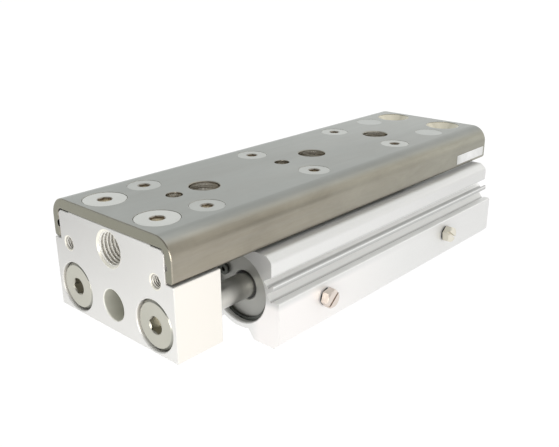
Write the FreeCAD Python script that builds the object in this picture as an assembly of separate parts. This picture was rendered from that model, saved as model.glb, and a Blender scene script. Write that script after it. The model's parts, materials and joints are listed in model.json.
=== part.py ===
import FreeCAD, Part
import math
import os

# Compact pneumatic slide table: a twin-bore extruded aluminium body, a bent steel table that
# slides over it on recirculating balls, and an end plate that two piston rods push.
# Frame: origin at the centre of the body's bottom face, +X along the stroke towards the end
# plate, +Z up, +Y the side with the plugged ports. Modelled retracted, all lengths in mm.

os.makedirs("parts", exist_ok=True)

# ---------------------------------------------------------------- driving dimensions
STROKE = 100.0

BODY_X0, BODY_X1 = -82.0, 82.0      # body length
BODY_TOP = 37.0                     # top of the body
LOWER_HALF_W = 44.6                 # half width of the foot section
UPPER_HALF_W = 41.0                 # half width of the upper lobes
BORE_Y, BORE_Z = 23.45, 19.45       # axes of the two bores
BORE_R = 10.0
ROD_R = 5.0
CBORE_R = 14.2                      # front counterbore that takes the rod cover
CBORE_X = 74.3
COVER_FACE_X = 78.3
UNDER_R = 16.35                     # underside arc round each bore

TABLE_X0, TABLE_X1 = -90.5, 122.5
TABLE_HALF_W = 35.0
TABLE_TOP = 54.2
TABLE_T = 4.4                       # sheet thickness of the top
LEG_T = 3.6                         # the legs, machined thinner inside for the ball tracks
TABLE_LEG_Z = 37.9                  # lower edge of the legs
BEND_R = 7.6                        # outer radius of the bend
TRACK_Y, TRACK_Z, TRACK_R = 31.05, 43.7, 1.56

EP_X0, EP_X1 = 101.5, 122.5         # end plate
EP_Z0 = 8.75
EP_HALF_W = 35.3
EP_SHOULDER_Z = 37.5
EP_NECK_HALF_W = 31.1
EP_TOP = 49.8
HEAD_X = 121.95                     # face of the rod end screws, just inside the end plate's front

BLOCK_X0, BLOCK_X1 = -14.0, 70.0    # guide block
BLOCK_HALF_W = 30.7
BLOCK_FLOOR_Z = 44.4
BLOCK_TOP_Z = 48.9
BLOCK_SHOULDER_Y = 24.0
RETURN_Y = 27.0                     # ball return channel
BALL_R = 1.5

PLATE_X0, PLATE_X1 = -70.0, 98.0    # backing plate under the table
PLATE_HALF_W = 23.5
PLATE_Z0 = 45.0

ACCESS_X = (76.2, 10.5, -39.6)      # centreline body bolts and the table holes above them
ACCESS_R = 6.2
WORK_X = (91.5, 30.8)               # tapped work holes on the centreline
WORK_R = 3.3
SMALL_CSK_X = (91.5, 30.8, -29.6)
SMALL_CSK_Y = 18.3
SMALL_CSK_R = 6.7
BLANK_X = -60.5
BIG_CSK_X, BIG_CSK_Y, BIG_CSK_R = 111.9, 15.4, 8.4
BIG_CSK_THRU = 4.7
REAR_CSK_X = -79.2

PORT_X = (54.5, -37.5)
PORT_Z = 12.6
V = FreeCAD.Vector


# ---------------------------------------------------------------- helpers
def box(x0, x1, y0, y1, z0, z1):
    return Part.makeBox(x1 - x0, y1 - y0, z1 - z0, V(x0, y0, z0))


def cyl(r, p, d, h):
    return Part.makeCylinder(r, h, V(*p), V(*d))


def xcyl(r, x0, x1, y, z):
    return cyl(r, (x0, y, z), (1, 0, 0), x1 - x0)


def zcyl(r, z0, z1, x, y):
    return cyl(r, (x, y, z0), (0, 0, 1), z1 - z0)


def cone(r0, r1, p, d, h):
    return Part.makeCone(r0, r1, h, V(*p), V(*d))


def outline(pts):
    """Closed wire in the plane x = 0 from (y, z, corner radius) points, corners rounded."""
    n = len(pts)
    segs = []
    ends = []
    for i in range(n):
        y, z, r = pts[i]
        p = V(0, y, z)
        a = V(0, pts[i - 1][0], pts[i - 1][1]) - p
        b = V(0, pts[(i + 1) % n][0], pts[(i + 1) % n][1]) - p
        if r <= 0:
            ends.append((p, None, p))
            continue
        a.normalize()
        b.normalize()
        ang = math.acos(max(-1.0, min(1.0, a.dot(b))))
        t = r / math.tan(ang / 2)
        p0, p1 = p + a * t, p + b * t
        bis = a + b
        bis.normalize()
        c = p + bis * (r / math.sin(ang / 2))
        m = p - c
        m.normalize()
        ends.append((p0, c + m * r, p1))
    for i in range(n):
        p0, m, p1 = ends[i]
        if m is not None:
            segs.append(Part.Arc(p0, m, p1).toShape())
        q = ends[(i + 1) % n][0]
        if (q - p1).Length > 1e-6:
            segs.append(Part.LineSegment(p1, q).toShape())
    return Part.Wire(segs)


def extrude(pts, x0, x1):
    f = Part.Face(outline(pts))
    f.translate(V(x0, 0, 0))
    return f.extrude(V(x1 - x0, 0, 0))


def hexprism(af, p, d, h, turn=0.0):
    """Hexagonal prism of across-flats af, from point p along d."""
    r = af / math.sqrt(3.0)
    pts = [V(r * math.cos(math.radians(60 * i + turn)), r * math.sin(math.radians(60 * i + turn)), 0)
           for i in range(7)]
    s = Part.Face(Part.makePolygon(pts)).extrude(V(0, 0, h))
    s.Placement = FreeCAD.Placement(V(*p), FreeCAD.Rotation(V(0, 0, 1), V(*d)))
    return s


def ring(r_in, r_out, p, d, h):
    return cyl(r_out, p, d, h).cut(cyl(r_in, (p[0] - d[0], p[1] - d[1], p[2] - d[2]), d, h + 2))


def xring(r_in, r_out, x0, x1, y, z):
    return xcyl(r_out, x0, x1, y, z).cut(xcyl(r_in, x0 - 1, x1 + 1, y, z))


def oring(major, minor, p, d):
    return Part.makeTorus(major, minor, V(*p), V(*d))


def revolve_x(pts, y, z):
    """Solid of revolution about the line parallel to X through (y, z); pts are (x, radius)."""
    ps = [V(x, y, z + r) for x, r in pts]
    ps.append(ps[0])
    f = Part.Face(Part.makePolygon(ps))
    return f.revolve(V(0, y, z), V(1, 0, 0), 360)


def thread_cutter(x_mouth, x_end, y, z, major, minor, pitch, chamfer_r, turns):
    """Tapped hole opening at x_mouth towards +X: ring grooves of the thread form on the minor bore."""
    flat = pitch / 8.0
    pts = [(x_mouth + 1.0, 0.0), (x_mouth + 1.0, chamfer_r), (x_mouth, chamfer_r)]
    x = x_mouth - (chamfer_r - minor)
    pts.append((x, minor))
    for i in range(turns):
        x -= flat * 2.0
        pts.append((x, minor))
        half = (pitch - 3.0 * flat) / 2.0
        x -= half
        pts.append((x, major))
        x -= flat
        pts.append((x, major))
        x -= half
        pts.append((x, minor))
    pts.append((x_end, minor))
    pts.append((x_end, 0.0))
    return revolve_x(pts, y, z)


def fuse(shapes):
    s = shapes[0]
    for t in shapes[1:]:
        s = s.fuse(t)
    return s.removeSplitter()


def save(name, shapes):
    if not isinstance(shapes, (list, tuple)):
        shapes = [shapes]
    solids = []
    for s in shapes:
        solids += list(s.Solids)
    out = solids[0] if len(solids) == 1 else Part.makeCompound(solids)
    bad = [i for i, s in enumerate(solids) if not s.isValid() or s.Volume <= 0]
    print(name, "solids", len(solids), "volume", round(sum(s.Volume for s in solids), 2), "bad", bad)
    out.exportStep("parts/" + name + ".step")
    return out


def chamfer_where(shape, size, test):
    edges = [e for e in shape.Edges if test(e)]
    return shape.makeChamfer(size, edges) if edges else shape


# ---------------------------------------------------------------- cylinder body
side = [
    (0.0, 0.0, 0), (42.0, 0.0, 0.6), (LOWER_HALF_W, 2.6, 0.8), (LOWER_HALF_W, 19.3, 0.5),
    (41.5, 19.45, 0.25), (40.6, 18.4, 0.2), (38.4, 21.6, 0.4), (41.8, 23.65, 0.3), (41.8, 25.6, 0.3),
    (41.2, 25.8, 0.15), (39.35, 24.0, 0.2), (36.9, 26.4, 0.4), (UPPER_HALF_W, 28.9, 0.5),
    (UPPER_HALF_W, 34.6, 2.5), (38.2, BODY_TOP, 2.5), (0.0, BODY_TOP, 0),
]
right = extrude(side, BODY_X0, BODY_X1)
left = extrude([(-y, z, r) for y, z, r in side], BODY_X0, BODY_X1)
body = right.fuse(left).removeSplitter()
for s in (1, -1):
    # hollow underside between the centre foot and the side foot, rounded along the bore
    under = extrude([(s * y, z, 0) for y, z in
                     ((8.0, -1.0), (32.4, -1.0), (28.4, 3.87), (28.4, 8.0), (8.0, 8.0))],
                    BODY_X0 - 1, BODY_X1 + 1)
    under = under.cut(xcyl(UNDER_R, BODY_X0 - 2, BODY_X1 + 2, s * BORE_Y, BORE_Z))
    body = body.cut(under)
for s in (1, -1):
    y = s * BORE_Y
    body = body.cut(xcyl(BORE_R, BODY_X0 - 1, BODY_X1 + 1, y, BORE_Z))
    body = body.cut(xcyl(CBORE_R, CBORE_X, BODY_X1 + 1, y, BORE_Z))
    body = body.cut(cone(CBORE_R, CBORE_R + 1.4, (BODY_X1 - 0.4, y, BORE_Z), (1, 0, 0), 1.4))
    body = body.cut(xcyl(CBORE_R + 0.55, 78.4, 79.7, y, BORE_Z))         # ring groove, front
    body = body.cut(xcyl(BORE_R + 0.8, -79.4, -78.1, y, BORE_Z))         # ring groove, rear
for x in ACCESS_X:                                                       # centreline mounting holes
    body = body.cut(zcyl(3.3, -1, 40, x, 0))
    body = body.cut(zcyl(5.5, 30.0, 40, x, 0))
for x in (-64.0, 64.0):                                                  # tapped holes in the side feet
    for y in (-38.0, 38.0):
        body = body.cut(zcyl(2.5, -1, 9.0, x, y))
for x in (-6.0, 28.0, 60.0):                                             # tapped holes for the guide block
    for y in (-15.0, 15.0):
        body = body.cut(zcyl(2.1, 29.0, 40, x, y))
for s in (1, -1):                                                        # ports and air passages
    for x in PORT_X:
        body = body.cut(cyl(2.1, (x, s * (LOWER_HALF_W + 1), PORT_Z), (0, -s, 0), 7.4))
        body = body.cut(cone(2.1, 3.3, (x, s * (LOWER_HALF_W - 0.5), PORT_Z), (0, s, 0), 1.2))
    y0 = s * (LOWER_HALF_W - 6.0)
    d = V(62.6 - PORT_X[0], s * 31.5 - y0, 15.0 - PORT_Z)
    body = body.cut(cyl(1.2, (PORT_X[0], y0, PORT_Z), tuple(d.normalize()), 12.0))
    body = body.cut(xcyl(1.5, BODY_X0 - 1, PORT_X[1] + 1.0, s * 39.2, PORT_Z))
    body = body.cut(xcyl(2.0, BODY_X0 - 1, BODY_X0 + 4.0, s * 39.2, PORT_Z))
    d = V(-4.0, s * (39.2 - 31.5), PORT_Z - 15.0)
    body = body.cut(cyl(1.2, (-61.0, s * 31.5, 15.0), tuple(d.normalize()), 8.6))
for x in (-61.2, 62.4):                                                  # links between the two bores
    body = body.cut(cyl(1.5, (x, -BORE_Y, BORE_Z), (0, 1, 0), 2 * BORE_Y))
save("cylinder_body", body)

# ---------------------------------------------------------------- guide block and its circuit
half = [
    (0.0, BODY_TOP, 0), (BLOCK_HALF_W, BODY_TOP, 0.4), (BLOCK_HALF_W, BLOCK_TOP_Z, 0.6),
    (BLOCK_SHOULDER_Y, BLOCK_TOP_Z, 0.4), (BLOCK_SHOULDER_Y, BLOCK_FLOOR_Z, 0.4), (0.0, BLOCK_FLOOR_Z, 0),
]
block = extrude(half, BLOCK_X0, BLOCK_X1).fuse(
    extrude([(-y, z, r) for y, z, r in half], BLOCK_X0, BLOCK_X1)).removeSplitter()
for s in (1, -1):
    block = block.cut(xcyl(TRACK_R, BLOCK_X0 - 1, BLOCK_X1 + 1, s * TRACK_Y, TRACK_Z))
    block = block.cut(xcyl(1.6, BLOCK_X0 - 1, BLOCK_X1 + 1, s * RETURN_Y, TRACK_Z))
block = block.cut(zcyl(ACCESS_R, 30, 60, 10.5, 0))
screws = []
for x in (-6.0, 28.0, 60.0):
    for y in (-15.0, 15.0):
        block = block.cut(zcyl(2.7, 30, 60, x, y)).cut(zcyl(4.5, 39.4, 60, x, y))
        sc = zcyl(4.25, 39.4, 44.2, x, y).fuse(zcyl(2.08, 29.2, 39.4, x, y)).removeSplitter()
        sc = sc.cut(hexprism(4.0, (x, y, 41.7), (0, 0, 1), 4))
        screws.append(sc)
for x0, d in ((BLOCK_X0 - 0.1, 1), (BLOCK_X1 + 0.1, -1)):
    for y in (-19.8, 19.8):
        block = block.cut(cyl(1.03, (x0, y, 40.8), (d, 0, 0), 8.0))
save("guide_block", block)
save("guide_block_screws", screws)

capscrews = []


def end_cap(x0, x1, s, face):
    """Resin return cap: turns the balls from the loaded track back into the return channel."""
    pts = [(7.2, 37.3, 0.4), (30.3, 37.3, 0.4), (30.3, 48.5, 0.6), (24.3, 48.5, 0.4), (24.3, 44.3, 0.4),
           (7.2, 44.3, 0.4)]
    c = extrude([(s * y, z, r) for y, z, r in pts], x0, x1)
    mid = (TRACK_Y + RETURN_Y) / 2
    c = c.cut(Part.makeTorus((TRACK_Y - RETURN_Y) / 2, 1.6, V(face, s * mid, TRACK_Z), V(0, 0, 1)))
    return c.cut(xcyl(1.3, x0 - 1, x1 + 1, s * 19.8, 40.8))


def wiper(x0, x1, s):
    pts = [(7.2, 37.2, 0.4), (30.7, 37.2, 0.3), (30.7, 48.7, 0.6), (24.2, 48.7, 0.3), (24.2, 44.4, 0.3),
           (7.2, 44.4, 0.4)]
    w = extrude([(s * y, z, r) for y, z, r in pts], x0, x1)
    w = w.fuse(xcyl(1.45, x0, x1, s * TRACK_Y, TRACK_Z)).removeSplitter()
    return w.cut(xcyl(1.3, x0 - 1, x1 + 1, s * 19.8, 40.8))


def cap_screw(x_head, d, s):
    p = (x_head, s * 19.8, 40.8)
    sc = cyl(2.2, p, (-d, 0, 0), 1.4)
    sc = sc.fuse(cyl(1.0, p, (d, 0, 0), 12.5)).removeSplitter()
    return sc.cut(hexprism(1.8, (x_head - d * 1.4, s * 19.8, 40.8), (d, 0, 0), 0.9))


save("return_caps_front", [end_cap(BLOCK_X1, BLOCK_X1 + 5, s, BLOCK_X1) for s in (1, -1)])
save("return_caps_rear", [end_cap(BLOCK_X0 - 5, BLOCK_X0, s, BLOCK_X0) for s in (1, -1)])
save("scrapers_front", [wiper(BLOCK_X1 + 5, BLOCK_X1 + 6.5, s) for s in (1, -1)])
save("scrapers_rear", [wiper(BLOCK_X0 - 6.5, BLOCK_X0 - 5, s) for s in (1, -1)])
for s in (1, -1):
    capscrews.append(cap_screw(BLOCK_X1 + 6.5, -1, s))
    capscrews.append(cap_screw(BLOCK_X0 - 6.5, 1, s))
save("return_cap_screws", capscrews)

balls = []
N_ROW = 24
for s in (1, -1):
    for i in range(N_ROW):
        x = BLOCK_X0 + 2.5 + i * (BLOCK_X1 - BLOCK_X0 - 5.0) / (N_ROW - 1)
        balls.append(Part.makeSphere(BALL_R, V(x, s * TRACK_Y, TRACK_Z)))
        balls.append(Part.makeSphere(BALL_R, V(x, s * RETURN_Y, TRACK_Z)))
    mid = (TRACK_Y + RETURN_Y) / 2
    for xe, d in ((BLOCK_X1, 1), (BLOCK_X0, -1)):
        balls.append(Part.makeSphere(BALL_R, V(xe + d * (TRACK_Y - RETURN_Y) / 2, s * mid, TRACK_Z)))
save("guide_balls", balls)

# ---------------------------------------------------------------- cylinder ends
rod_seals, bushes, cover_orings, cover_rings = [], [], [], []
cap_orings, cap_rings, front_bumpers, rear_bumpers = [], [], [], []


def retaining_ring(x0, x1, y, z, r_in, r_out, gap_deg, turn, taper=0.18, lug_r=1.7, lug_in=-0.2):
    """Internal circlip: an open ring with two holed lugs at the gap, thicker opposite the gap."""
    a = math.radians(turn)
    off = (r_out - r_in) * taper
    rg = xcyl(r_out, x0, x1, y, z).cut(
        xcyl(r_in, x0 - 1, x1 + 1, y + off * math.cos(a), z + off * math.sin(a)))
    wedge = Part.makePolygon([V(x0 - 1, y, z)] + [
        V(x0 - 1, y + 40 * math.cos(a + math.radians(k)), z + 40 * math.sin(a + math.radians(k)))
        for k in (-gap_deg / 2, gap_deg / 2)] + [V(x0 - 1, y, z)])
    rg = rg.cut(Part.Face(wedge).extrude(V(x1 - x0 + 2, 0, 0)))
    for k in (-1, 1):
        b = a + k * math.radians(gap_deg / 2 + 10.0)
        cy, cz = y + (r_in - lug_in) * math.cos(b), z + (r_in - lug_in) * math.sin(b)
        rg = rg.fuse(xcyl(lug_r, x0, x1, cy, cz))
    rg = rg.removeSplitter()
    for k in (-1, 1):
        b = a + k * math.radians(gap_deg / 2 + 10.0)
        cy, cz = y + (r_in - lug_in) * math.cos(b), z + (r_in - lug_in) * math.sin(b)
        rg = rg.cut(xcyl(lug_r * 0.42, x0 - 1, x1 + 1, cy, cz))
    return rg


for s, tag in ((1, "left"), (-1, "right")):
    y, z = s * BORE_Y, BORE_Z
    cover = xcyl(CBORE_R - 0.05, CBORE_X, COVER_FACE_X, y, z)
    cover = cover.fuse(xcyl(BORE_R - 0.03, 63.6, CBORE_X, y, z)).removeSplitter()
    cover = chamfer_where(cover, 0.3, lambda e: abs(e.BoundBox.XMin - COVER_FACE_X) < 1e-6
                          and e.BoundBox.XLength < 1e-6)
    cover = cover.cut(xcyl(5.8, 62, 80, y, z))
    cover = cover.cut(xcyl(6.6, 62, 71.0, y, z))
    cover = cover.cut(xcyl(7.9, 71.4, 75.6, y, z))
    cover = cover.cut(cone(5.8, 6.3, (77.9, y, z), (1, 0, 0), 0.5))
    cover = cover.cut(xring(BORE_R - 1.6, BORE_R + 1, 67.0, 69.2, y, z))
    save("rod_cover_" + tag, cover)
    cover_orings.append(oring(BORE_R - 0.82, 0.78, (68.1, y, z), (1, 0, 0)))
    bushes.append(xring(ROD_R + 0.03, 6.58, 63.6, 70.9, y, z))
    seal = xring(ROD_R + 0.04, 7.86, 71.5, 75.5, y, z)
    seal = seal.cut(xring(5.9, 7.0, 71.4, 73.6, y, z))
    seal = seal.fuse(xring(ROD_R + 0.04, 5.75, 75.5, 77.9, y, z)).removeSplitter()
    rod_seals.append(seal)
    cover_rings.append(retaining_ring(78.45, 79.6, y, z, 13.0, 14.65, 30.0, 184.0 if s > 0 else -4.0, 0.28, 2.4, 1.7))
    front_bumpers.append(xring(5.5, 8.2, 62.0, 63.55, y, z))

    cap = xcyl(BORE_R - 0.03, -78.0, -63.5, y, z)
    cap = cap.cut(xring(BORE_R - 1.6, BORE_R + 1, -69.2, -67.0, y, z))
    cap = cap.cut(xcyl(4.0, -79, -72.0, y, z))
    cap = chamfer_where(cap, 0.4, lambda e: abs(e.BoundBox.XMin + 78.0) < 1e-6
                        and e.BoundBox.XLength < 1e-6 and e.BoundBox.ZLength > 15)
    save("head_cap_" + tag, cap)
    cap_orings.append(oring(BORE_R - 0.82, 0.78, (-68.1, y, z), (1, 0, 0)))
    cap_rings.append(retaining_ring(-79.3, -78.2, y, z, 8.4, 10.75, 44.0, 90.0))
    rear_bumpers.append(xcyl(7.0, -63.45, -60.2, y, z))
save("rod_bushings", bushes)
save("rod_seals", rod_seals)
save("rod_cover_o_rings", cover_orings)
save("rod_cover_retaining_rings", cover_rings)
save("head_cap_o_rings", cap_orings)
save("head_cap_retaining_rings", cap_rings)
save("front_bumpers", front_bumpers)
save("rear_bumpers", rear_bumpers)

# ---------------------------------------------------------------- port plugs on the +Y side
gaskets = []
for x, tag in zip(PORT_X, ("front", "rear")):
    yf = LOWER_HALF_W
    gaskets.append(ring(2.6, 3.55, (x, yf + 0.02, PORT_Z), (0, 1, 0), 0.58))
    plug = hexprism(7.0, (x, yf + 0.6, PORT_Z), (0, 1, 0), 3.5, 11.0 if tag == "front" else -22.0)
    dome = cone(4.05 + 2.2, 3.3, (x, yf + 0.6, PORT_Z), (0, 1, 0), 3.5)
    plug = plug.common(dome)
    plug = plug.fuse(cyl(2.07, (x, yf - 4.6, PORT_Z), (0, 1, 0), 5.2)).removeSplitter()
    slot = box(-5, 5, 0, 2, -0.5, 0.5)
    slot.Placement = FreeCAD.Placement(V(x, yf + 2.9, PORT_Z),
                                       FreeCAD.Rotation(V(0, 1, 0), 41.0 if tag == "front" else -34.0))
    plug = plug.cut(slot)
    save("port_plug_" + tag, plug)
save("port_plug_gaskets", gaskets)
save("passage_plugs", [xcyl(1.98, BODY_X0 + 0.6, BODY_X0 + 4.0, s * 39.2, PORT_Z).cut(
    hexprism(1.6, (BODY_X0 + 0.5, s * 39.2, PORT_Z), (1, 0, 0), 1.7)) for s in (1, -1)])

# ---------------------------------------------------------------- table
inner_top = TABLE_TOP - TABLE_T
inner_y = TABLE_HALF_W - LEG_T
pts = [
    (TABLE_HALF_W, TABLE_LEG_Z, 1.6), (TABLE_HALF_W, TABLE_TOP, BEND_R), (-TABLE_HALF_W, TABLE_TOP, BEND_R),
    (-TABLE_HALF_W, TABLE_LEG_Z, 1.6), (-inner_y, TABLE_LEG_Z, 1.0), (-inner_y, inner_top, 2.0),
    (inner_y, inner_top, 2.0), (inner_y, TABLE_LEG_Z, 1.0),
]
table = extrude(pts, TABLE_X0, TABLE_X1)
table = chamfer_where(table, 0.3, lambda e: e.BoundBox.XLength < 1e-6 and (
    e.BoundBox.ZMin > inner_top + 0.5 or (abs(e.BoundBox.YMax) > inner_y + 1 and abs(e.BoundBox.YMin) > inner_y + 1)
    and not (abs(e.BoundBox.ZMin - TABLE_LEG_Z) < 1e-6 and e.BoundBox.YLength > 0.5 and e.BoundBox.ZLength < 1e-6)))
for s in (1, -1):
    table = table.cut(xcyl(TRACK_R, TABLE_X0 - 1, TABLE_X1 + 1, s * TRACK_Y, TRACK_Z))
for x in ACCESS_X:
    table = table.cut(zcyl(ACCESS_R, 40, 60, x, 0))
    table = table.cut(cone(ACCESS_R, ACCESS_R + 0.8, (x, 0, TABLE_TOP - 0.3), (0, 0, 1), 0.8))
for x in WORK_X:
    table = table.cut(zcyl(WORK_R, 40, 60, x, 0))
    table = table.cut(cone(WORK_R, WORK_R + 0.5, (x, 0, TABLE_TOP - 0.1), (0, 0, 1), 0.5))


def countersink(shape, x, y, r, thru, rim=0.5):
    """Countersunk seat with a short straight rim, flush with the table top."""
    shape = shape.cut(zcyl(thru, 40, 60, x, y))
    shape = shape.cut(zcyl(r, TABLE_TOP - rim, 60, x, y))
    return shape.cut(cone(thru, r, (x, y, TABLE_TOP - rim - (r - thru)), (0, 0, 1), r - thru))


for s in (1, -1):
    for x in SMALL_CSK_X:
        table = countersink(table, x, s * SMALL_CSK_Y, SMALL_CSK_R, 3.3)
    table = countersink(table, BIG_CSK_X, s * BIG_CSK_Y, BIG_CSK_R, BIG_CSK_THRU)
    table = countersink(table, REAR_CSK_X, s * BIG_CSK_Y, BIG_CSK_R, 4.9, 0.3)
    table = table.cut(zcyl(SMALL_CSK_R, TABLE_TOP - 2.6, 60, BLANK_X, s * SMALL_CSK_Y))
save("table", table)

plate = extrude([(PLATE_HALF_W, PLATE_Z0, 0.5), (PLATE_HALF_W, inner_top, 0.3), (-PLATE_HALF_W, inner_top, 0.3),
                 (-PLATE_HALF_W, PLATE_Z0, 0.5)], PLATE_X0, PLATE_X1)
for x in ACCESS_X:
    plate = plate.cut(zcyl(ACCESS_R, 40, 60, x, 0))
for x in WORK_X:
    plate = plate.cut(zcyl(WORK_R, 40, 60, x, 0))
for s in (1, -1):
    for x in SMALL_CSK_X:
        plate = plate.cut(zcyl(2.55, 40, 60, x, s * SMALL_CSK_Y))
save("table_backing_plate", plate)


def flush_screw(x, y, r, thru, shank, z_end, af, depth, gap):
    """Countersunk head that stops a little short of the rim of its seat, leaving a fine ring."""
    head = zcyl(r - gap, TABLE_TOP - 0.5 - gap, TABLE_TOP - 0.08, x, y)
    head = head.fuse(cone(thru - 0.05, r - gap, (x, y, TABLE_TOP - 0.5 - (r - thru)), (0, 0, 1), r - thru - gap))
    head = head.fuse(zcyl(shank, z_end, TABLE_TOP - 1.0, x, y)).removeSplitter()
    head = head.cut(hexprism(af, (x, y, TABLE_TOP - depth), (0, 0, 1), depth + 1, 8.0 + x))
    return head.cut(cone(af / 2, af / 2 + 0.9, (x, y, TABLE_TOP - 0.5), (0, 0, 1), 0.9))


save("backing_plate_screws", [flush_screw(x, s * SMALL_CSK_Y, SMALL_CSK_R, 3.3, 2.53, PLATE_Z0 + 0.1, 4.0, 3.0,
                                          0.12) for s in (1, -1) for x in SMALL_CSK_X])
save("table_blank_plugs", [zcyl(SMALL_CSK_R - 0.05, TABLE_TOP - 2.6, TABLE_TOP - 0.06, BLANK_X, s * SMALL_CSK_Y)
                           for s in (1, -1)])
save("blank_label", box(-88.5, -61.5, TABLE_HALF_W + 0.01, TABLE_HALF_W + 0.14, 39.8, 44.4))

# ---------------------------------------------------------------- end plate
ep_pts = [
    (EP_HALF_W, EP_Z0, 0.5), (EP_HALF_W, EP_SHOULDER_Z, 0.4), (EP_NECK_HALF_W, EP_SHOULDER_Z, 0.5),
    (EP_NECK_HALF_W, 48.1, 0.5), (29.75, EP_TOP - 0.4, 0.5), (24.4, EP_TOP - 0.4, 0.4), (24.0, EP_TOP, 0.4),
    (-24.0, EP_TOP, 0.4), (-24.4, EP_TOP - 0.4, 0.4), (-29.75, EP_TOP - 0.4, 0.5),
    (-EP_NECK_HALF_W, 48.1, 0.5), (-EP_NECK_HALF_W, EP_SHOULDER_Z, 0.5), (-EP_HALF_W, EP_SHOULDER_Z, 0.4),
    (-EP_HALF_W, EP_Z0, 0.5),
]
ep = extrude(ep_pts, EP_X0, EP_X1)
ep = chamfer_where(ep, 0.2, lambda e: e.BoundBox.XLength < 1e-6)
for s in (1, -1):
    y = s * BORE_Y
    ep = ep.cut(revolve_x([(117.2, 0.0), (117.2, 9.85), (EP_X1 - 0.35, 9.85), (EP_X1, 10.2), (EP_X1 + 2, 10.2),
                           (EP_X1 + 2, 0.0)], y, BORE_Z))
    ep = ep.cut(xcyl(7.5, EP_X0 - 1, EP_X1, y, BORE_Z))
    ep = ep.cut(zcyl(3.4, 37.0, 60, BIG_CSK_X, s * BIG_CSK_Y))
    ep = ep.cut(thread_cutter(EP_X1, EP_X1 - 12.0, s * 25.75, 36.9, 2.5, 2.1, 0.8, 2.95, 9))
ep = ep.cut(revolve_x([(EP_X0 - 2, 0.0), (EP_X0 - 2, 6.15), (EP_X1 - 0.3, 6.15), (EP_X1, 6.45), (EP_X1 + 2, 6.45),
                       (EP_X1 + 2, 0.0)], 0, BORE_Z))
ep = ep.cut(thread_cutter(EP_X1, EP_X0 - 1.0, 0, 41.5, 7.0, 6.19, 1.5, 7.25, 11))
save("end_plate", ep)
save("end_plate_screws", [flush_screw(BIG_CSK_X, s * BIG_CSK_Y, BIG_CSK_R, BIG_CSK_THRU, 3.38, 37.4, 5.0, 3.6,
                                      0.25) for s in (1, -1)])

# ---------------------------------------------------------------- rods and pistons
nuts, seals, magnets, wear = [], [], [], []
PX0, PX1 = -58.5, -38.5
for s, tag in ((1, "left"), (-1, "right")):
    y, z = s * BORE_Y, BORE_Z
    rod = xcyl(ROD_R, PX1, 116.6, y, z).fuse(xcyl(3.0, -57.0, PX1, y, z)).removeSplitter()
    rod = chamfer_where(rod, 0.4, lambda e: e.BoundBox.XLength < 1e-6 and e.BoundBox.XMin > 116)
    rod = rod.cut(xcyl(3.02, 98.0, 118.0, y, z))
    save("rod_" + tag, rod)

    bush = xring(ROD_R + 0.04, 7.45, EP_X0, 116.9, y, z)
    save("floating_bush_" + tag, bush)

    screw = xcyl(9.4, 117.25, HEAD_X, y, z)
    screw = chamfer_where(screw, 0.9, lambda e: e.BoundBox.XLength < 1e-6 and e.BoundBox.XMin > 120)
    screw = screw.fuse(xcyl(3.0, 99.0, 117.25, y, z)).removeSplitter()
    screw = screw.cut(hexprism(6.0, (118.2, y, z), (1, 0, 0), 6.0, 17.0 if s > 0 else 41.0))
    screw = screw.cut(cone(3.0, 4.0, (HEAD_X - 0.5, y, z), (1, 0, 0), 1.0))
    save("rod_end_screw_" + tag, screw)

    piston = xcyl(9.8, PX0, PX1, y, z)
    piston = chamfer_where(piston, 0.4, lambda e: e.BoundBox.XLength < 1e-6)
    piston = piston.cut(xcyl(3.02, PX0 - 1, PX1 + 1, y, z)).cut(xcyl(5.6, PX0 - 1, -54.2, y, z))
    piston = piston.cut(xring(7.9, 11, -43.2, -40.4, y, z))
    piston = piston.cut(xring(7.2, 11, -50.0, -45.4, y, z))
    piston = piston.cut(xring(8.6, 11, -55.4, -52.0, y, z))
    save("piston_" + tag, piston)
    nut = hexprism(9.0, (-54.2, y, z), (-1, 0, 0), 3.2).cut(xcyl(3.02, -60, -50, y, z))
    nuts.append(nut)
    seals.append(xring(7.94, 9.95, -43.1, -40.5, y, z).cut(xring(8.8, 9.3, -43.2, -41.8, y, z)))
    magnets.append(xring(7.24, 9.5, -49.95, -45.45, y, z))
    wear.append(xring(8.64, 9.95, -55.35, -52.05, y, z))
save("piston_nuts", nuts)
save("piston_seals", seals)
save("piston_magnets", magnets)
save("piston_wear_rings", wear)
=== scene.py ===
import bpy
import json
import math
from mathutils import Matrix, Vector

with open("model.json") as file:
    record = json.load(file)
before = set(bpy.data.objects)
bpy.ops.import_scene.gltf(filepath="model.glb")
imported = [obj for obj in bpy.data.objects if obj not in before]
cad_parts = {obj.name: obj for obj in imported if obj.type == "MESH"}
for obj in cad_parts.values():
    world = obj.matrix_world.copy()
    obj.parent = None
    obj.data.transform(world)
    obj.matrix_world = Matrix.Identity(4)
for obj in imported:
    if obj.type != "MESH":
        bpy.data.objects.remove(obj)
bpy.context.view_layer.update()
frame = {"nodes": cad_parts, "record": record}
scene = bpy.context.scene

# ------------------------------------------------------------------ camera
LENS_PX, FRAME_W = 710.06, 559.0
cam_data = bpy.data.cameras.new("camera")
cam_data.sensor_width = 36.0
cam_data.sensor_fit = "HORIZONTAL"
cam_data.lens = 36.0 * LENS_PX / FRAME_W
cam_data.clip_start = 0.01
cam_data.clip_end = 50.0
cam_data.dof.use_dof = False
cam = bpy.data.objects.new("camera", cam_data)
scene.collection.objects.link(cam)
look = Vector((-0.69286154, -0.63017923, -0.35045259))
right = Vector((-0.67164485, 0.7408606, -0.00433178))
up = Vector((-0.26236632, -0.23237835, 0.93657046))
cam.matrix_world = Matrix((
    (right.x, up.x, -look.x, 0.2532082),
    (right.y, up.y, -look.y, 0.200725),
    (right.z, up.z, -look.z, 0.1376627),
    (0, 0, 0, 1)))
scene.camera = cam
scene.view_settings.view_transform = "Standard"


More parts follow.
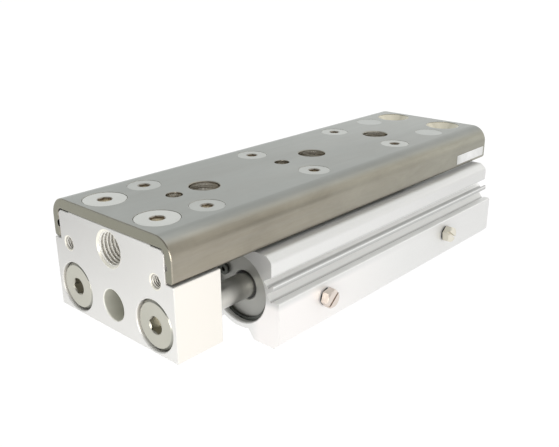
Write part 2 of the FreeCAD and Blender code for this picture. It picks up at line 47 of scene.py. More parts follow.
# ------------------------------------------------------------------ node helpers
class Net:
    """A small helper for building one material's nodes."""

    def __init__(self, name, tree=None):
        if tree is not None:
            self.nt = tree
            self.coord = self.node("ShaderNodeTexCoord").outputs["Generated"]
            return
        self.mat = bpy.data.materials.new(name)
        self.mat.use_nodes = True
        self.nt = self.mat.node_tree
        self.nt.nodes.clear()
        self.out = self.node("ShaderNodeOutputMaterial")
        self.bsdf = self.node("ShaderNodeBsdfPrincipled")
        self.link(self.bsdf.outputs["BSDF"], self.out.inputs["Surface"])
        self.coord = self.node("ShaderNodeTexCoord").outputs["Object"]

    def node(self, kind, **props):
        n = self.nt.nodes.new(kind)
        for k, v in props.items():
            setattr(n, k, v)
        return n

    def link(self, a, b):
        self.nt.links.new(a, b)

    def mapped(self, scale, rotation=(0, 0, 0), location=(0, 0, 0)):
        m = self.node("ShaderNodeMapping")
        m.inputs["Scale"].default_value = scale
        m.inputs["Rotation"].default_value = rotation
        m.inputs["Location"].default_value = location
        self.link(self.coord, m.inputs["Vector"])
        return m.outputs["Vector"]

    def noise(self, scale, vec=None, detail=3.0, rough=0.55, distortion=0.0):
        n = self.node("ShaderNodeTexNoise")
        n.inputs["Scale"].default_value = scale
        n.inputs["Detail"].default_value = detail
        n.inputs["Roughness"].default_value = rough
        n.inputs["Distortion"].default_value = distortion
        self.link(vec if vec is not None else self.coord, n.inputs["Vector"])
        return n.outputs["Fac"]

    def remap(self, value, a, b, c, d, smooth=False):
        m = self.node("ShaderNodeMapRange")
        if smooth:
            m.interpolation_type = "SMOOTHSTEP"
        m.inputs["From Min"].default_value = a
        m.inputs["From Max"].default_value = b
        m.inputs["To Min"].default_value = c
        m.inputs["To Max"].default_value = d
        self.link(value, m.inputs["Value"])
        return m.outputs["Result"]

    def math(self, op, a, b=None):
        m = self.node("ShaderNodeMath", operation=op)
        for i, v in enumerate((a, b)):
            if v is None:
                continue
            if isinstance(v, (int, float)):
                m.inputs[i].default_value = v
            else:
                self.link(v, m.inputs[i])
        return m.outputs[0]

    def xyz(self):
        s = self.node("ShaderNodeSeparateXYZ")
        self.link(self.coord, s.inputs[0])
        return s.outputs

    def facing(self):
        s = self.node("ShaderNodeSeparateXYZ")
        self.link(self.node("ShaderNodeNewGeometry").outputs["Normal"], s.inputs[0])
        return s.outputs

    def radius(self, a, b, a0, b0):
        """Distance from the axis that passes through (a0, b0)."""
        da, db = self.math("SUBTRACT", a, a0), self.math("SUBTRACT", b, b0)
        return self.math("SQRT", self.math("ADD", self.math("MULTIPLY", da, da), self.math("MULTIPLY", db, db)))

    def times(self, *values):
        out = values[0]
        for v in values[1:]:
            out = self.math("MULTIPLY", out, v)
        return out

    def blend(self, t, a, b):
        """a where t is 0, b where it is 1."""
        return self.math("ADD", a, self.math("MULTIPLY", t, self.math("SUBTRACT", b, a)))

    def near(self, value, centre, half, fade):
        """1 within half of centre, fading to 0 over fade."""
        return self.remap(self.math("ABSOLUTE", self.math("SUBTRACT", value, centre)), half, half + fade, 1.0, 0.0, True)

    def ramp(self, value, stops):
        r = self.node("ShaderNodeValToRGB")
        els = r.color_ramp.elements
        while len(els) < len(stops):
            els.new(0.5)
        for e, (p, c) in zip(els, stops):
            e.position = p
            e.color = (*c, 1.0)
        self.link(value, r.inputs["Fac"])
        return r.outputs["Color"]

    def bump(self, height, strength, distance, normal=None):
        b = self.node("ShaderNodeBump")
        b.inputs["Strength"].default_value = strength
        b.inputs["Distance"].default_value = distance
        self.link(height, b.inputs["Height"])
        if normal is not None:
            self.link(normal, b.inputs["Normal"])
        return b.outputs["Normal"]

    def edge(self, radius, lo=0.02, hi=0.25):
        """0 on flats, 1 on the very edges of the piece."""
        bev = self.node("ShaderNodeBevel", samples=6)
        bev.inputs["Radius"].default_value = radius
        geo = self.node("ShaderNodeNewGeometry")
        dot = self.node("ShaderNodeVectorMath", operation="DOT_PRODUCT")
        self.link(bev.outputs["Normal"], dot.inputs[0])
        self.link(geo.outputs["Normal"], dot.inputs[1])
        inv = self.math("SUBTRACT", 1.0, dot.outputs["Value"])
        return self.remap(inv, lo, hi, 0.0, 1.0), bev.outputs["Normal"]

    def set(self, socket, value):
        s = self.bsdf.inputs[socket]
        if isinstance(value, (int, float)):
            s.default_value = value
        elif isinstance(value, (tuple, list)):
            s.default_value = (*value, 1.0) if len(value) == 3 else value
        else:
            self.link(value, s)


def mixcolor(net, fac, a, b, blend="MIX"):
    m = net.node("ShaderNodeMix", data_type="RGBA", blend_type=blend)
    ins = [s for s in m.inputs if s.type == "RGBA"]
    f = m.inputs[0]
    if isinstance(fac, (int, float)):
        f.default_value = fac
    else:
        net.link(fac, f)
    for sock, v in zip(ins, (a, b)):
        if isinstance(v, (tuple, list)):
            sock.default_value = (*v, 1.0)
        else:
            net.link(v, sock)
    return [s for s in m.outputs if s.type == "RGBA"][0]


# ------------------------------------------------------------------ materials
def anodised(name, dark, light, rough, metallic, drawn, grain=0.05):
    """Matt clear-anodised aluminium; drawn > 0 adds the die lines of an extrusion along X."""
    n = Net(name)
    cloud = n.noise(18.0, detail=4.0)
    fine = n.noise(1400.0, detail=2.0)
    col = mixcolor(n, n.remap(cloud, 0.3, 0.7, 0.0, 1.0), dark, light)
    col = mixcolor(n, n.remap(fine, 0.35, 0.65, 0.0, 0.05), col, (0.62, 0.62, 0.60))
    if drawn > 0:
        X, Y, Z = n.xyz()
        nx, ny, nz = n.facing()
        ay = n.math("ABSOLUTE", Y)
        front = n.remap(n.math("ABSOLUTE", nx), 0.6, 0.9, 0.0, 1.0)
        flank = n.times(n.remap(ay, 0.0360, 0.0366, 0.0, 1.0), n.math("SUBTRACT", 1.0, front))
        # painted light: fixed tones of the drawn faces, set by place on the body: the long sides a little brighter
        # towards the front end
        tone = n.remap(X, -0.08, 0.08, 0.99, 1.08)
        tone = n.blend(n.times(flank, n.remap(Z, 0.016, 0.019, 1.0, 0.0)), 1.0, tone)
        # painted shade in the corners of the two side grooves, fainter towards the rear
        along = n.remap(X, -0.085, 0.02, 0.30, 1.0)
        for z, half, fade, amount, fades in ((0.02855, 0.0003, 0.0010, 0.12, True), (0.02440, 0.0002, 0.0005, 0.32, False),
                                             (0.02330, 0.0002, 0.0006, 0.14, True), (0.01860, 0.0003, 0.0006, 0.26, False)):
            amount = n.times(flank, n.near(Z, z, half, fade), amount)
            if fades:
                amount = n.times(amount, along)
            if z < 0.02:
                amount = n.times(amount, n.remap(ay, 0.0410, 0.0414, 1.0, 0.0))
            tone = n.times(tone, n.math("SUBTRACT", 1.0, amount))
        # painted light and shade: brighter slope above the rib, rib face, foot top and lobe towards the front; darker
        # lines at the rib's upper and lower edges; top faces brighter towards the rear
        outer = n.remap(ay, 0.0402, 0.0405, 0.0, 1.0)
        slope = n.times(flank, n.near(Z, 0.0259, 0.0006, 0.0006), n.math("SUBTRACT", 1.0, outer))
        tone = n.times(tone, n.math("ADD", 1.0, n.times(slope, n.remap(X, -0.08, 0.07, 0.44, 0.20))))
        tone = n.times(tone, n.math("ADD", 1.0, n.times(flank, n.near(Z, 0.0246, 0.0005, 0.0003), outer, 0.08)))
        tone = n.times(tone, n.math("SUBTRACT", 1.0, n.times(flank, n.near(Z, 0.0257, 0.0002, 0.0003), outer, 0.24)))
        tone = n.times(tone, n.math("SUBTRACT", 1.0, n.times(flank, n.near(Z, 0.0238, 0.0002, 0.0003), outer, 0.22)))
        tone = n.times(tone, n.math("ADD", 1.0, n.times(n.near(Z, 0.0194, 0.0004, 0.0003), n.math("SUBTRACT", 1.0, front),
                                                        n.remap(ay, 0.0412, 0.0418, 0.0, 1.0), 0.12)))
        lobe = n.times(flank, n.remap(Z, 0.0286, 0.0290, 0.0, 1.0), n.remap(Z, 0.0342, 0.0350, 1.0, 0.0))
        tone = n.times(tone, n.blend(lobe, 1.0, n.remap(X, -0.06, 0.07, 0.94, 1.05)))
        top = n.times(n.remap(Z, 0.0345, 0.0352, 0.0, 1.0), n.remap(ay, 0.0360, 0.0366, 0.0, 1.0))
        tone = n.times(tone, n.blend(top, 1.0, n.remap(X, -0.07, 0.0, 1.07, 1.0)))
        # painted shade on the sawn and faced ends: darker above the foot, most towards the middle
        painted_end_shade = n.blend(n.remap(ay, 0.030, 0.041, 0.0, 1.0), 0.58, 0.80)
        painted_end_shade = n.blend(n.remap(Z, 0.015, 0.021, 0.0, 1.0, True), 1.02, painted_end_shade)
        tone = n.blend(front, tone, painted_end_shade)
        col = mixcolor(n, 1.0, col, tone, "MULTIPLY")
        # painted light: the foot paler and warmer towards the front end
        foot = n.remap(Z, 0.016, 0.018, 1.0, 0.0)
        painted_foot_light = n.times(foot, n.remap(X, -0.01, 0.08, 0.0, 0.85, True), n.remap(ay, 0.030, 0.0340, 0.0, 1.0))
        col = mixcolor(n, painted_foot_light, col, (0.985, 0.955, 0.94))
    edge, soft = n.edge(0.00035)
    if drawn > 0:
        # painted highlight on the rounded edges: strong at the faced ends, faint along the drawn sides
        edge = n.times(edge, n.remap(n.math("ABSOLUTE", nx), 0.1, 0.6, 0.30, 1.0))
    # painted highlight: the very edges mixed towards near-white, with less metallic
    col = mixcolor(n, n.math("MULTIPLY", edge, 0.8), col, (0.98, 0.98, 0.96))
    n.set("Base Color", col)
    n.set("Metallic", n.blend(edge, metallic, 0.15))
    n.set("Roughness", n.math("ADD", n.remap(fine, 0.3, 0.7, rough - 0.04, rough + 0.05),
                              n.remap(cloud, 0.3, 0.7, -0.02, 0.02)))
    normal = n.bump(fine, grain, 0.00004, soft)
    if drawn > 0:
        lines = n.noise(1.0, n.mapped((6.0, 1500.0, 1500.0)), detail=3.0, rough=0.6)
        normal = n.bump(lines, drawn, 0.00003, normal)
    n.set("Normal", normal)
    return n.mat


def milled(name, dark, light, rough, metallic):
    """Fine-milled and anodised plate: faint cutter arcs, painted shade darkening the front face towards the top,
    threads with painted highlight on the crests and painted shade in the roots."""
    n = Net(name)
    X, Y, Z = n.xyz()
    nx, ny, nz = n.facing()
    cloud = n.noise(26.0, detail=4.0)
    fine = n.noise(1500.0, detail=2.0)
    w = n.node("ShaderNodeTexWave", wave_type="RINGS", rings_direction="SPHERICAL")
    n.link(n.mapped((1, 1, 1), location=(-0.1, 0.055, -0.09)), w.inputs["Vector"])
    w.inputs["Scale"].default_value = 420.0
    w.inputs["Distortion"].default_value = 1.2
    w.inputs["Detail"].default_value = 2.0
    col = mixcolor(n, n.remap(cloud, 0.3, 0.7, 0.0, 1.0), dark, light)
    # painted shade on the front face: darker towards the top, most on the -Y side
    front = n.remap(nx, 0.6, 0.9, 0.0, 1.0)
    tone = n.blend(n.remap(Y, -0.032, 0.032, 0.0, 1.0), n.remap(Z, 0.012, 0.046, 0.99, 0.77),
                   n.remap(Z, 0.012, 0.046, 1.04, 0.93))
    col = mixcolor(n, front, col, mixcolor(n, 1.0, col, tone, "MULTIPLY"))
    # painted light: the faces towards +Y paler and warmer
    col = mixcolor(n, n.remap(ny, 0.6, 0.9, 0.0, 1.0), col, (0.94, 0.905, 0.845))
    # painted highlight: the very edges mixed towards near-white
    edge, soft = n.edge(0.0003)
    col = mixcolor(n, n.math("MULTIPLY", edge, 0.7), col, (0.98, 0.98, 0.96))
    # walls of the bores: greenish grey, with painted shade making them darker deeper in
    wall = n.remap(n.math("ABSOLUTE", nx), 0.75, 0.9, 1.0, 0.0)
    bore = n.radius(Y, Z, 0.0, 0.01945)
    col = mixcolor(n, n.times(wall, n.remap(bore, 0.0063, 0.0066, 1.0, 0.0)), col,
                   mixcolor(n, n.remap(X, 0.112, 0.1225, 0.0, 1.0), (0.50, 0.495, 0.43), (0.84, 0.84, 0.77)))
    # painted highlight on the bore's lip
    lip = n.times(n.remap(bore, 0.0063, 0.0066, 1.0, 0.0), n.remap(X, 0.1221, 0.12215, 0.0, 1.0))
    col = mixcolor(n, lip, col, (0.97, 0.96, 0.90))
    pale = lip
    # threads: painted highlight on the crests and the mouth's rim, painted shade in the roots, less metallic where
    # painted pale
    for y, z, root, crest, mouth, root_shade in ((0.0, 0.0415, 0.0070, 0.0062, 0.00735, (0.66, 0.64, 0.59)),
                                           (0.02575, 0.0369, 0.0025, 0.0021, 0.0031, (0.42, 0.40, 0.36)),
                                           (-0.02575, 0.0369, 0.0025, 0.0021, 0.0031, (0.42, 0.40, 0.36))):
        r = n.radius(Y, Z, y, z)
        inside = n.remap(r, mouth, mouth + 0.0001, 1.0, 0.0)
        step = root - crest
        depth = n.remap(r, crest + 0.12 * step, crest + 0.45 * step, 0.0, 1.0)
        thread = mixcolor(n, depth, (1.0, 0.99, 0.95), root_shade)
        pale = n.math("MAXIMUM", pale, n.times(inside, n.math("SUBTRACT", 1.0, n.times(depth, 0.7))))
        inner = n.times(inside, n.remap(X, 0.1225 - step * 0.9, 0.1225 - step * 0.75, 1.0, 0.0))
        col = mixcolor(n, inner, col, thread)
        rim = n.times(inside, n.remap(X, 0.1225 - step * 0.9, 0.1225 - step * 0.75, 0.0, 1.0))
        col = mixcolor(n, rim, col, (0.95, 0.93, 0.84))
    n.set("Base Color", col)
    n.set("Metallic", n.blend(pale, metallic, 0.05))
    n.set("Roughness", n.remap(fine, 0.3, 0.7, rough - 0.04, rough + 0.05))
    normal = n.bump(w.outputs["Fac"], 0.05, 0.00003, soft)
    normal = n.bump(fine, 0.05, 0.00004, normal)
    n.set("Normal", normal)
    return n.mat


def rod_end_screw(name):
    """Turned steel head; painted shade makes its chamfer and socket darker."""
    n = Net(name)
    X, Y, Z = n.xyz()
    nx, ny, nz = n.facing()
    fine = n.noise(2200.0, detail=2.0)
    cloud = n.noise(90.0, detail=3.0)
    col = mixcolor(n, n.remap(cloud, 0.3, 0.7, 0.0, 1.0), (0.53, 0.525, 0.455), (0.57, 0.56, 0.49))
    r = n.radius(n.math("ABSOLUTE", Y), Z, 0.02345, 0.01945)
    # painted shade: the socket and the chamfer round the rim darker
    socket = n.times(n.remap(r, 0.0038, 0.0040, 1.0, 0.0), n.remap(X, 0.12185, 0.12192, 1.0, 0.0))
    col = mixcolor(n, socket, col, (0.48, 0.465, 0.40))
    rim = n.times(n.remap(r, 0.0083, 0.0085, 0.0, 1.0), n.remap(nx, 0.9, 0.97, 1.0, 0.0))
    col = mixcolor(n, rim, col, (0.42, 0.42, 0.375))
    n.set("Base Color", col)
    n.set("Metallic", 1.0)
    n.set("Roughness", n.remap(fine, 0.3, 0.7, 0.31, 0.42))
    n.set("Normal", n.bump(fine, 0.06, 0.00003))
    return n.mat


def table_steel(name):
    """Ground stainless sheet: matt, finely brushed along its length; painted shade makes the folded sides warmer and
    darker.
    """
    n = Net(name)
    brush = n.noise(1.0, n.mapped((14.0, 1300.0, 1300.0)), detail=5.0, rough=0.62)
    long_streak = n.noise(1.0, n.mapped((5.0, 90.0, 90.0)), detail=4.0, rough=0.5)
    cloud = n.noise(30.0, detail=4.0, rough=0.6)
    speck = n.noise(900.0, detail=2.0)
    col = mixcolor(n, n.remap(cloud, 0.3, 0.7, 0.0, 1.0), (0.372, 0.380, 0.358), (0.398, 0.404, 0.382))
    pos = n.node("ShaderNodeSeparateXYZ")
    n.link(n.coord, pos.inputs[0])
    # painted shade: the top darker in a band round X = 0.03
    painted_top_shade = n.near(pos.outputs["X"], 0.03, 0.04, 0.07)
    col = mixcolor(n, 1.0, col, n.blend(painted_top_shade, 0.95, 0.88), "MULTIPLY")
    # painted shade on the folded sides: darker and warmer than the top, a little brighter towards the front end
    side_col = mixcolor(n, n.remap(cloud, 0.35, 0.65, 0.0, 1.0), (0.305, 0.285, 0.240), (0.330, 0.312, 0.268))
    nrm = n.node("ShaderNodeSeparateXYZ")
    n.link(n.node("ShaderNodeNewGeometry").outputs["Normal"], nrm.inputs[0])
    side = n.remap(n.math("ABSOLUTE", nrm.outputs["Z"]), 0.55, 0.97, 1.0, 0.0, True)
    side_col = mixcolor(n, 1.0, side_col, mixcolor(n, n.remap(pos.outputs["X"], -0.08, 0.11, 0.0, 1.0),
                                                   (0.955, 0.985, 0.960), (1.035, 1.0, 0.945)), "MULTIPLY")
    col = mixcolor(n, side, col, side_col)
    # uneven polish: soft patches, stronger on the bend and the folded sides; painted shade makes the face of the front
    # end darker
    mottle = n.noise(1.0, n.mapped((42.0, 130.0, 130.0)), detail=5.0, rough=0.68, distortion=0.6)
    patch = n.times(n.remap(mottle, 0.32, 0.68, -1.0, 1.0), n.blend(side, 0.045, 0.095))
    col = mixcolor(n, 1.0, col, n.math("ADD", 1.0, patch), "MULTIPLY")
    col = mixcolor(n, n.remap(nrm.outputs["X"], 0.7, 0.95, 0.0, 1.0), col, (0.250, 0.245, 0.192))
    col = mixcolor(n, n.remap(long_streak, 0.42, 0.72, 0.0, 0.16), col, (0.30, 0.285, 0.25))
    col = mixcolor(n, n.remap(brush, 0.35, 0.75, 0.0, 0.10), col, (0.52, 0.52, 0.49))
    # painted shade along the lower edge, where it hangs over the gap to the body
    low = n.remap(pos.outputs["Z"], 0.0382, 0.0388, 1.0, 0.0, True)
    col = mixcolor(n, n.math("MULTIPLY", low, 0.7), col, (0.085, 0.075, 0.060))
    # painted shade inside the fold and on the ball tracks: a dark tone
    inner = n.times(n.remap(n.math("ABSOLUTE", pos.outputs["Y"]), 0.0335, 0.0337, 1.0, 0.0),
                    n.remap(pos.outputs["Z"], 0.0496, 0.0498, 1.0, 0.0))
    inner = n.times(inner, n.remap(nrm.outputs["X"], 0.5, 0.8, 1.0, 0.0))
    col = mixcolor(n, inner, col, (0.10, 0.095, 0.085))
    edge, soft = n.edge(0.00025)
    # painted highlight: the very edges mixed towards a pale warm grey
    col = mixcolor(n, n.math("MULTIPLY", edge, 0.8), col, (0.86, 0.85, 0.77))
    # walls of the access and tapped holes: bored, with round tool marks and a brown cast
    centre = n.remap(n.math("ABSOLUTE", pos.outputs["Y"]), 0.0066, 0.0070, 1.0, 0.0)
    wall = n.math("MULTIPLY", centre, n.remap(n.math("ABSOLUTE", nrm.outputs["Z"]), 0.2, 0.5, 1.0, 0.0))
    wall = n.math("MULTIPLY", wall, n.remap(n.math("ABSOLUTE", n.math("SUBTRACT", pos.outputs["X"], 0.016)),
                                            0.101, 0.102, 1.0, 0.0))
    marks = n.noise(1.0, n.mapped((8.0, 8.0, 1600.0)), detail=3.0, rough=0.6)
    col = mixcolor(n, wall, col, mixcolor(n, n.remap(marks, 0.38, 0.62, 0.0, 1.0), (0.36, 0.32, 0.265), (0.95, 0.92, 0.85)))
    # rear countersinks show the bright, slightly yellow cut metal
    rear = n.math("MULTIPLY", n.remap(pos.outputs["X"], -0.0702, -0.0698, 1.0, 0.0),
                  n.math("MULTIPLY", n.remap(pos.outputs["Z"], 0.05405, 0.0541, 1.0, 0.0),
                         n.remap(n.math("ABSOLUTE", pos.outputs["Y"]), 0.0245, 0.025, 1.0, 0.0)))
    rear = n.math("MULTIPLY", rear, n.remap(pos.outputs["Z"], 0.0494, 0.0496, 0.0, 1.0))
    rear = n.math("MULTIPLY", rear, n.remap(pos.outputs["X"], -0.0885, -0.0882, 0.0, 1.0))
    col = mixcolor(n, rear, col, (0.63, 0.595, 0.49))
    n.set("Base Color", col)
    n.set("Metallic", 1.0)
    rough = n.math("ADD", n.remap(brush, 0.3, 0.7, 0.29, 0.35), n.remap(cloud, 0.3, 0.7, -0.02, 0.03))
    rough = n.math("SUBTRACT", rough, n.times(n.math("ADD", wall, rear), 0.10))
    n.set("Roughness", rough)
    n.set("Anisotropic", 0.2)
    normal = n.bump(brush, 0.05, 0.00003, soft)
    normal = n.bump(speck, 0.03, 0.00002, normal)
    grooves = n.noise(1.0, n.mapped((0.0, 0.0, 3600.0)), detail=2.0)
    cut = n.node("ShaderNodeBump")
    cut.inputs["Distance"].default_value = 0.00014
    n.link(wall, cut.inputs["Strength"])
    n.link(grooves, cut.inputs["Height"])
    n.link(normal, cut.inputs["Normal"])
    n.set("Normal", cut.outputs["Normal"])
    return n.mat


def turned_steel(name, base, rough, ring_scale=0.0, edge_highlight=(0.9, 0.9, 0.88)):
    """Machined steel with a fine satin grain."""
    n = Net(name)
    fine = n.noise(2200.0, detail=2.0)
    cloud = n.noise(90.0, detail=3.0)
    col = mixcolor(n, n.remap(cloud, 0.3, 0.7, 0.0, 1.0), tuple(c * 0.93 for c in base), base)
    edge, soft = n.edge(0.0002)
    # painted highlight: the very edges mixed towards a lighter colour
    col = mixcolor(n, n.math("MULTIPLY", edge, 0.5), col, edge_highlight)
    n.set("Base Color", col)
    n.set("Metallic", 1.0)
    n.set("Roughness", n.remap(fine, 0.3, 0.7, rough - 0.05, rough + 0.06))
    n.set("Normal", n.bump(fine, 0.06, 0.00003, soft))
    return n.mat


def countersunk(name, face_z, light, axes, mouth):
    """Satin screw head let into the table, with painted shade and highlight inside the socket and painted shade round
    its mouth.
    """
    n = Net(name)
    X, Y, Z = n.xyz()
    fine = n.noise(2200.0, detail=2.0)
    cloud = n.noise(90.0, detail=3.0)
    col = mixcolor(n, n.remap(cloud, 0.3, 0.7, 0.0, 1.0), tuple(c * 0.94 for c in light), light)
    # painted light: brighter towards the rear end, darker towards the front
    col = mixcolor(n, 1.0, col, n.remap(X, -0.03, 0.092, 1.06, 0.95), "MULTIPLY")
    edge, soft = n.edge(0.0002)
    # painted highlight: the very edges mixed towards a pale grey
    col = mixcolor(n, n.math("MULTIPLY", edge, 0.5), col, (0.90, 0.88, 0.82))
    # painted shade: a dark brown ring round the socket's mouth
    for x, y in axes:
        r = n.radius(X, n.math("ABSOLUTE", Y), x, y)
        col = mixcolor(n, n.remap(r, mouth - 0.0003, mouth + 0.0002, 0.65, 0.0, True), col, (0.20, 0.165, 0.125))
    # inside the socket: painted highlight near the top, painted shade deeper in, with random streaks
    below = n.remap(Z, face_z - 0.0006, face_z - 0.0003, 1.0, 0.0)
    streak = n.noise(1.0, n.mapped((900.0, 900.0, 200.0)), detail=2.0)
    deep = n.math("ADD", n.remap(Z, face_z - 0.0016, face_z - 0.0009, 1.0, 0.0), n.remap(streak, 0.3, 0.7, -0.25, 0.25))
    col = mixcolor(n, below, col, mixcolor(n, n.remap(deep, 0.0, 1.0, 0.0, 1.0), (0.19, 0.145, 0.10), (0.97, 0.92, 0.80)))
    n.set("Base Color", col)
    n.set("Metallic", n.math("SUBTRACT", 1.0, n.times(below, 0.6)))
    n.set("Roughness", n.remap(fine, 0.3, 0.7, 0.31, 0.42))
    n.set("Normal", n.bump(fine, 0.06, 0.00003, soft))
    return n.mat


def ground_rod(name):
    """Hard chrome, ground round, with fine rings left by the wheel."""
    n = Net(name)
    rings = n.noise(1.0, n.mapped((2500.0, 40.0, 40.0)), detail=2.0)
    n.set("Base Color", mixcolor(n, n.remap(rings, 0.3, 0.7, 0.0, 1.0), (0.64, 0.635, 0.60), (0.71, 0.705, 0.67)))
    n.set("Metallic", 1.0)
    n.set("Roughness", n.remap(rings, 0.3, 0.7, 0.32, 0.38))
    grooves = n.noise(1.0, n.mapped((6500.0, 0.0, 0.0)), detail=2.0)
    n.set("Normal", n.bump(grooves, 1.0, 0.000015))
    return n.mat


def moulded(name, base, rough, bump=0.15, sheen=0.0):
    n = Net(name)
    fine = n.noise(1100.0, detail=3.0)
    cloud = n.noise(70.0)
    n.set("Base Color", mixcolor(n, n.remap(cloud, 0.3, 0.7, 0.0, 1.0), tuple(c * 0.8 for c in base),
                                 tuple(min(1.0, c * 1.25) for c in base)))
    n.set("Roughness", n.remap(fine, 0.3, 0.7, rough - 0.07, rough + 0.08))
    n.set("Normal", n.bump(fine, bump, 0.00004))
    return n.mat


MATS = {
    "anodised_body": anodised("anodised_extrusion", (0.79, 0.79, 0.78), (0.82, 0.82, 0.81), 0.42, 0.45, 0.10),
    "anodised_plate": milled("anodised_milled", (0.78, 0.775, 0.755), (0.81, 0.805, 0.785), 0.42, 0.45),
    "table_steel": table_steel("brushed_stainless"),
    "guide_steel": turned_steel("ground_steel", (0.56, 0.55, 0.53), 0.25),
    "screw_steel": turned_steel("satin_zinc", (0.70, 0.71, 0.69), 0.36),
    "rod_chrome": ground_rod("ground_chrome"),
    "ball_steel": turned_steel("polished_balls", (0.72, 0.72, 0.72), 0.12),
    "resin": moulded("dark_resin", (0.035, 0.04, 0.038), 0.5),
    "nitrile": moulded("nitrile_rubber", (0.016, 0.016, 0.016), 0.55),
    "black_ring": turned_steel("phosphated_spring_steel", (0.105, 0.11, 0.10), 0.42, edge_highlight=(0.2, 0.2, 0.2)),
    "bronze": turned_steel("bearing_bronze", (0.52, 0.38, 0.22), 0.35),
    "nickel_plug": turned_steel("nickel_brass", (0.80, 0.71, 0.62), 0.2),
    "magnet": moulded("bonded_magnet", (0.08, 0.075, 0.075), 0.5),
    "label_film": moulded("label_film", (0.86, 0.87, 0.85), 0.35, 0.05),
}
BY_NODE = {
    "rod_end_screw_left": rod_end_screw("turned_head"),
    "rod_end_screw_right": "rod_end_screw_left",
    "end_plate_screws": countersunk("large_screw_heads", 0.0542, (0.735, 0.735, 0.705), ((0.1119, 0.0154),), 0.0030),
    "backing_plate_screws": countersunk("small_screw_heads", 0.0542, (0.560, 0.565, 0.540),
                                        ((0.0915, 0.0183), (0.0308, 0.0183), (-0.0296, 0.0183)), 0.0027),
    # painted shade: the covers take the anodised finish in a much darker colour, as they sit in shade
    "rod_cover_left": anodised("cover_left", (0.33, 0.33, 0.31), (0.385, 0.385, 0.362), 0.40, 0.6, 0.0),
    "rod_cover_right": "rod_cover_left",
    "port_plug_front": turned_steel("plug_front", (0.79, 0.71, 0.645), 0.42),
    "port_plug_rear": turned_steel("plug_rear", (0.78, 0.745, 0.645), 0.36),
    "table_blank_plugs": turned_steel("blank_discs", (0.56, 0.57, 0.55), 0.36),
}
slot_of = {s["node"]: s["material_slot"] for s in frame["record"]["subparts"]}
for node, obj in frame["nodes"].items():
    mat = BY_NODE.get(node, MATS[slot_of[node]])
    if isinstance(mat, str):
        mat = BY_NODE[mat]
    if obj.material_slots:
        for s in obj.material_slots:
            s.material = mat
    else:
        obj.data.materials.append(mat)

# ------------------------------------------------------------------ floor and light
me = bpy.data.meshes.new("floor")
F = 20.0
me.from_pydata([(-F, -F, -0.0002), (F, -F, -0.0002), (F, F, -0.0002), (-F, F, -0.0002)], [], [(0, 1, 2, 3)])
floor = bpy.data.objects.new("floor", me)
scene.collection.objects.link(floor)
fl = Net("floor_white")
fl.set("Base Color", (0.02, 0.02, 0.02))
fl.set("Roughness", 1.0)
fl.set("Specular IOR Level", 0.0)
fl.set("Emission Color", (1.0, 1.0, 1.0))
fl.set("Emission Strength", 1.02)
me.materials.append(fl.mat)

# A white backdrop all round, which only shows behind the object and lights nothing.
me = bpy.data.meshes.new("backdrop")
N, R, H = 48, 8.0, 8.0
ring = [(R * math.cos(2 * math.pi * i / N), R * math.sin(2 * math.pi * i / N)) for i in range(N)]
me.from_pydata([(x, y, -0.0002) for x, y in ring] + [(x, y, H) for x, y in ring], [],
               [(i, (i + 1) % N, N + (i + 1) % N, N + i) for i in range(N)])
wall = bpy.data.objects.new("backdrop", me)
scene.collection.objects.link(wall)
wall.visible_diffuse = wall.visible_glossy = wall.visible_transmission = wall.visible_shadow = False
me.materials.append(fl.mat)

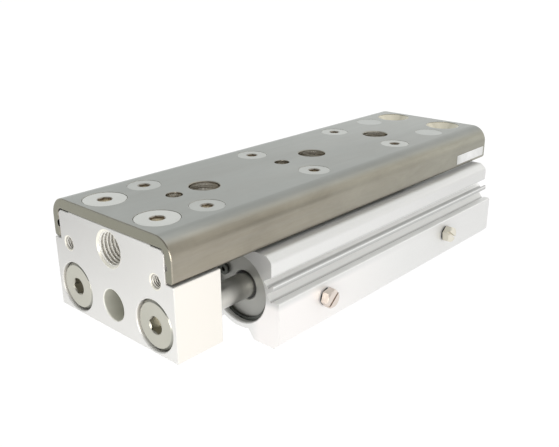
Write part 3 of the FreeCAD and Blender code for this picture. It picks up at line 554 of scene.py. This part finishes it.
# The studio: a pale room, brighter on the plugged side, dimmer in front of the end plate.
world = bpy.data.worlds.new("studio")
scene.world = world
world.use_nodes = True
wn = world.node_tree
sky = Net("studio", wn)
d = sky.node("ShaderNodeSeparateXYZ")
sky.link(sky.coord, d.inputs[0])
dx, dy, dz = d.outputs
level = sky.remap(dz, 0.12, 0.45, 1.11, 0.80, True)
level = sky.math("MULTIPLY", level, sky.remap(dx, -0.1, 0.95, 1.0, 0.25, True))
level = sky.math("MULTIPLY", level, sky.remap(dy, 0.0, 1.0, 1.0, 0.90, True))
azimuth = sky.math("ARCTAN2", dy, dx)
glow = sky.times(sky.remap(azimuth, 2.42, 2.56, 0.0, 0.42, True), sky.remap(azimuth, 2.95, 3.14, 1.0, 0.0, True))
level = sky.math("MULTIPLY", level, sky.math("ADD", 1.0, glow))
tint = mixcolor(sky, sky.remap(dy, -0.9, 0.9, 0.0, 1.0), (0.975, 1.0, 0.995), (1.0, 0.99, 0.965))
bg = wn.nodes["Background"]
sky.link(tint, bg.inputs["Color"])
sky.link(level, bg.inputs["Strength"])


def softbox(name, place, target, size, power, colour=(1, 1, 1)):
    d = bpy.data.lights.new(name, "AREA")
    d.shape = "RECTANGLE"
    d.size, d.size_y = size
    d.energy = power
    d.color = colour
    o = bpy.data.objects.new(name, d)
    scene.collection.objects.link(o)
    o.location = place
    o.rotation_euler = (Vector(target) - Vector(place)).to_track_quat("-Z", "Y").to_euler()
    o.visible_camera = False
    return o


# A grey card far off on the plugged side, which the table's bend picks up.
me = bpy.data.meshes.new("grey_card")
mid, reach = Vector((math.cos(2.330), math.sin(2.330), 0.0)) * 10.0, Vector((-math.sin(2.330), math.cos(2.330), 0.0)) * 1.8
me.from_pydata([mid - reach, mid + reach, mid + reach + Vector((0, 0, 4.2)), mid - reach + Vector((0, 0, 4.2))], [], [(0, 1, 2, 3)])
card = bpy.data.objects.new("grey_card", me)
scene.collection.objects.link(card)
card.visible_camera = False
gc = Net("grey_card")
X, Y, Z = gc.xyz()
fold = gc.times(gc.near(gc.math("ARCTAN2", Y, X), 2.330, 0.052, 0.125), gc.remap(Z, -0.6, 0.4, 0.0, 1.0, True),
                gc.remap(Z, 1.6, 4.2, 1.0, 0.0, True))
gc.set("Base Color", (0.0, 0.0, 0.0))
gc.set("Roughness", 1.0)
gc.set("Specular IOR Level", 0.0)
gc.set("Emission Color", (1.0, 0.995, 0.97))
gc.set("Emission Strength", gc.remap(fold, 0.0, 1.0, 1.02, 0.20))
me.materials.append(gc.mat)

softbox("card_low", (0.30, 0.16, 0.03), (0.12, 0.03, 0.02), (0.12, 0.12), 0.30, (1.0, 0.975, 0.93))
softbox("top_soft", (-0.2, 0.0, 1.6), (0, 0, 0.0), (1.6, 1.6), 2.0)
